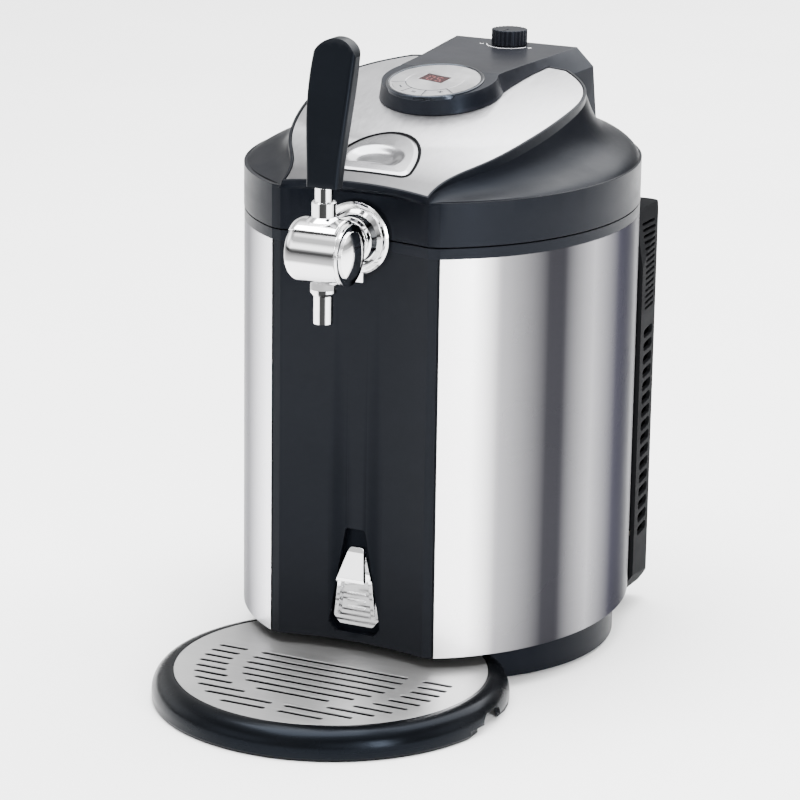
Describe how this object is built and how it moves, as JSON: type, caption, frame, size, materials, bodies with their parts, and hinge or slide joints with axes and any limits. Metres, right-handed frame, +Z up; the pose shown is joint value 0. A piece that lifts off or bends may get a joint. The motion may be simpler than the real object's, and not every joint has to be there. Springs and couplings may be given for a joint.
{
  "type": "beer dispenser",
  "caption": "Counter-top draught beer cooler for a mini keg, with a hinged control lid, lever tap, bottle opener and sliding round drip tray.",
  "frame": {"origin": "middle of the footprint's bounding box, on the table", "axes": "+Z up, -Y towards the tap and the drip tray, +X to the right seen from the front"},
  "size_m": [0.2704, 0.4285, 0.457],
  "materials": {
    "black_plastic": "fine matte texture",
    "brushed_steel": "satin",
    "chrome": "polished",
    "gloss_black": "gloss",
    "dark_soft": "satin",
    "rubber": "matte",
    "aluminium": "mill finish",
    "bare_steel": "plain",
    "ceramic_white": "plain",
    "circuit_green": "solder mask",
    "foam": "foam",
    "dark_window": "smoked"
  },
  "bodies": {
    "body": {"base_ring": "black_plastic", "rubber_feet": "rubber", "front_panel": "black_plastic", "bottle_opener": "chrome", "steel_panel_left": "brushed_steel", "steel_panel_right": "brushed_steel", "top_deck": "black_plastic", "cooling_well": "aluminium", "insulation_foam": "foam", "well_gasket": "rubber", "cold_block": "aluminium", "peltier_module": "ceramic_white", "heat_sink": "aluminium", "fan_frame": "black_plastic", "power_board": "circuit_green", "rear_cover": "black_plastic", "cover_screws": "bare_steel", "mains_inlet": "black_plastic", "keg_shell": "bare_steel", "keg_bung": "rubber", "dip_tube": "bare_steel", "keg_coupler": "bare_steel", "beer_line": "rubber", "tap_shank": "chrome", "tap_nut": "chrome", "tap_collar": "chrome", "tap_body": "chrome", "tap_seal": "rubber", "tap_end_cap": "chrome", "tap_spout": "chrome", "hinge_bracket": "black_plastic", "hinge_pin": "bare_steel"},
    "fan": {"fan_rotor": "black_plastic"},
    "lever": {"lever_hub": "chrome", "valve_spool": "chrome", "tap_rod": "chrome", "tap_sleeve": "chrome", "tap_handle": "dark_soft"},
    "tray": {"tray_bowl": "black_plastic", "drip_grid": "brushed_steel"},
    "lid": {"lid_shell": "black_plastic", "lid_plate": "brushed_steel", "lid_liner": "black_plastic", "button_housing": "black_plastic", "console_housing": "black_plastic", "panel_bezel": "gloss_black", "control_disc": "brushed_steel", "display_window": "dark_window", "control_board": "circuit_green", "regulator_body": "aluminium", "co2_cartridge": "bare_steel", "gas_line": "rubber", "button_spring": "bare_steel"},
    "release": {"lid_button": "chrome"},
    "latch": {"latch_bolt": "bare_steel"},
    "minus_key": {"minus_button": "brushed_steel"},
    "set_key": {"set_button": "brushed_steel"},
    "plus_key": {"plus_button": "brushed_steel"},
    "knob": {"pressure_knob": "black_plastic"}
  },
  "joints": [
    {"name": "lid_hinge", "type": "hinge", "parent": "body", "child": "lid", "pos_m": [0, 0.20975, 0.319], "axis": [-1, 0, 0], "range_deg": [0, 75]},
    {"name": "tap_lever", "type": "hinge", "parent": "body", "child": "lever", "pos_m": [0, -0.10745, 0.317], "axis": [1, 0, 0], "range_deg": [0, 26]},
    {"name": "tray_slide", "type": "slide", "parent": "body", "child": "tray", "axis": [0, -1, 0], "range_m": [0, 0.12]},
    {"name": "fan_spin", "type": "hinge", "parent": "body", "child": "fan", "pos_m": [0, 0.18855, 0.16], "axis": [0, 1, 0], "continuous": true},
    {"name": "lid_release", "type": "slide", "parent": "lid", "child": "release", "axis": [0, 0, -1], "range_m": [0, 0.003], "stiffness_N_per_m": 400, "springref_m": -0.002, "deforming": ["button_spring"]},
    {"name": "latch_slide", "type": "slide", "parent": "lid", "child": "latch", "axis": [0, -1, 0], "range_m": [0, 0.002]},
    {"name": "minus_press", "type": "slide", "parent": "lid", "child": "minus_key", "axis": [0, 0.1702, -0.9854], "range_m": [0, 0.0008], "stiffness_N_per_m": 600, "springref_m": -0.0005},
    {"name": "set_press", "type": "slide", "parent": "lid", "child": "set_key", "axis": [0, 0.1702, -0.9854], "range_m": [0, 0.0008], "stiffness_N_per_m": 600, "springref_m": -0.0005},
    {"name": "plus_press", "type": "slide", "parent": "lid", "child": "plus_key", "axis": [0, 0.1702, -0.9854], "range_m": [0, 0.0008], "stiffness_N_per_m": 600, "springref_m": -0.0005},
    {"name": "pressure_turn", "type": "hinge", "parent": "lid", "child": "knob", "pos_m": [0, 0.18855, 0.41], "axis": [0, 0, 1], "range_deg": [-135, 135]}
  ],
  "couplings": [
    {"joint": "latch_slide", "follows": "lid_release", "ratio": 0.6666}
  ]
}
